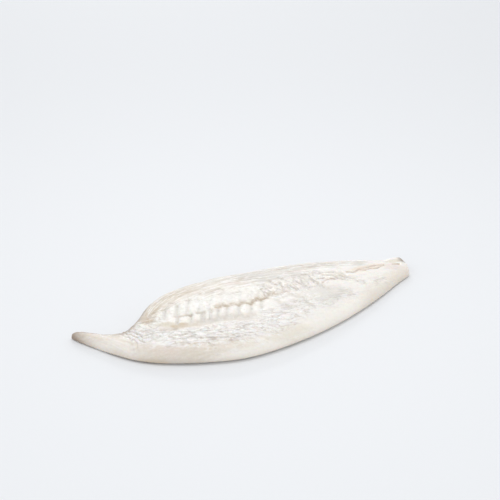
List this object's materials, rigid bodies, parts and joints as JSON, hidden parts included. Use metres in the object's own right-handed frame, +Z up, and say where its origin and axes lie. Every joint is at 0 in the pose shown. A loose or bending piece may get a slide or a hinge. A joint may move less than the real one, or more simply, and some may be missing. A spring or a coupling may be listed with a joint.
{
  "type": "skinless turbot fillet",
  "caption": "Raw skinless flatfish fillet: a long leaf shape with a pointed tongue at the head end, muscle blocks along a shallow seam and a flat underside to rest on.",
  "frame": {"origin": "on the resting plane, under the middle of the outline", "axes": "+X along the fillet from the tongue at the head end to the tail, +Y from the fin edge to the backbone edge, +Z up"},
  "size_m": [0.3295, 0.1185, 0.026],
  "materials": {
    "flesh": "moist raw white fish, cream to white, with beige flanks and soft wet gloss"
  },
  "bodies": {
    "root": {"fillet": "flesh"}
  },
  "joints": []
}
